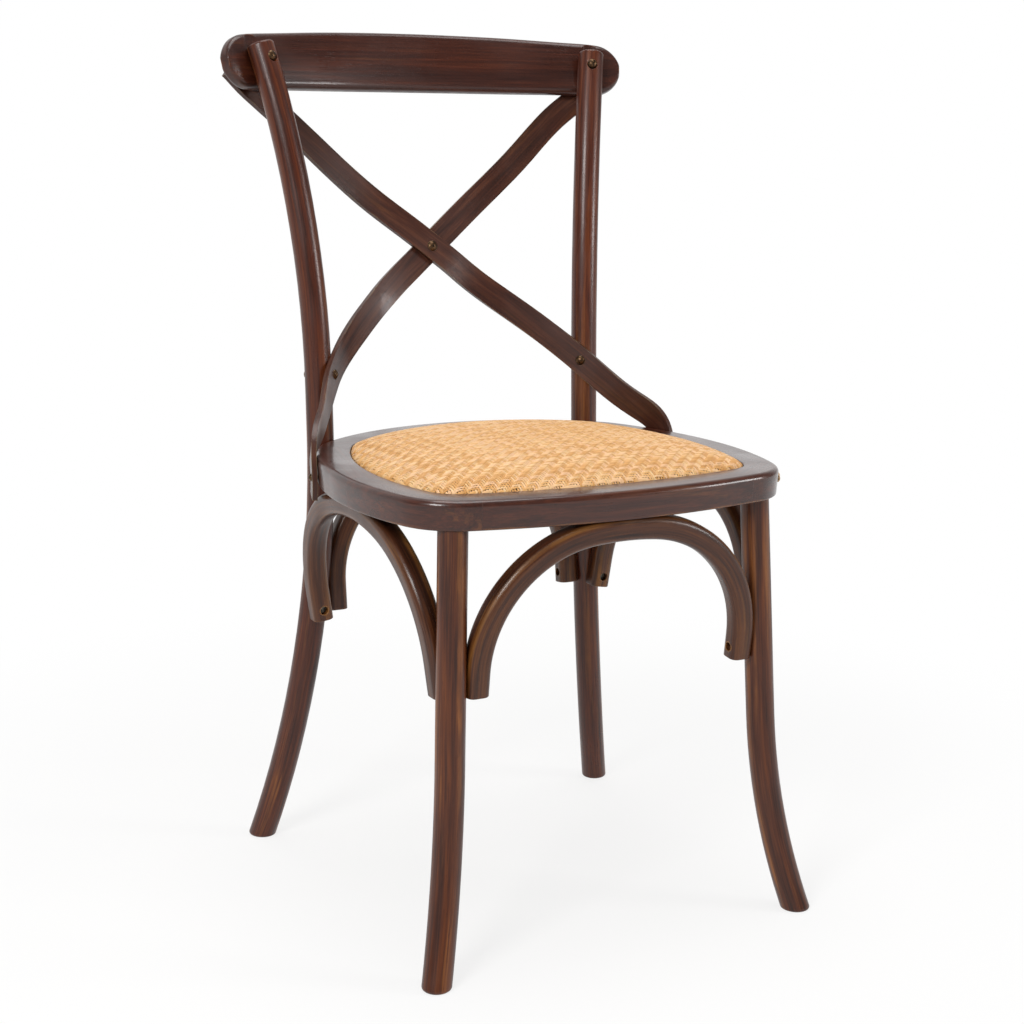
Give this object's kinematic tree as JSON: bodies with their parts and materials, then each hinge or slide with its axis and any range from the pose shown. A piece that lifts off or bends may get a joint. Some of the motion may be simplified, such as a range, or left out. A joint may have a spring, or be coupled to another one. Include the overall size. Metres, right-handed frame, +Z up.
{
  "type": "cross back chair",
  "caption": "Bentwood dining chair with a crossed strap back, curved crest rail, hooped braces under a rounded seat ring and a crowned woven rattan seat.",
  "frame": {"origin": "centre of the box around the chair, at floor level under the soles of the legs", "axes": "+Z up, -Y towards the front of the seat, +X to the right seen from the front"},
  "size_m": [0.485, 0.5415, 0.8848],
  "materials": {
    "stained_wood": "dark brown stain under semi-gloss lacquer, rubbed through to orange-brown on the edges",
    "rattan": "natural split rattan, woven, satin",
    "foam": "cushion foam",
    "plywood": "raw birch plywood",
    "beech_dowel": "raw beech",
    "screw_steel": "blackened steel",
    "aged_brass": "antique brass, dull"
  },
  "bodies": {
    "root": {"centre_rivet": "aged_brass", "crest_bolts": "aged_brass", "crest_rail": "stained_wood", "front_cross_strap": "stained_wood", "front_hoop": "stained_wood", "front_left_leg": "stained_wood", "front_right_leg": "stained_wood", "hoop_leg_screws": "screw_steel", "hoop_seat_screws": "screw_steel", "left_back_post": "stained_wood", "left_hoop": "stained_wood", "rattan_cover": "rattan", "rear_cross_strap": "stained_wood", "rear_hoop": "stained_wood", "right_back_post": "stained_wood", "right_hoop": "stained_wood", "seat_back_rail": "stained_wood", "seat_board": "plywood", "seat_front_rail": "stained_wood", "seat_left_corner": "stained_wood", "seat_left_rail": "stained_wood", "seat_pad": "foam", "seat_panel_screws": "screw_steel", "seat_post_bolts": "aged_brass", "seat_right_corner": "stained_wood", "seat_right_rail": "stained_wood", "seat_ring_dowels": "beech_dowel", "strap_end_screws": "aged_brass", "strap_post_bolts": "aged_brass", "strap_top_screws": "aged_brass"}
  },
  "joints": []
}
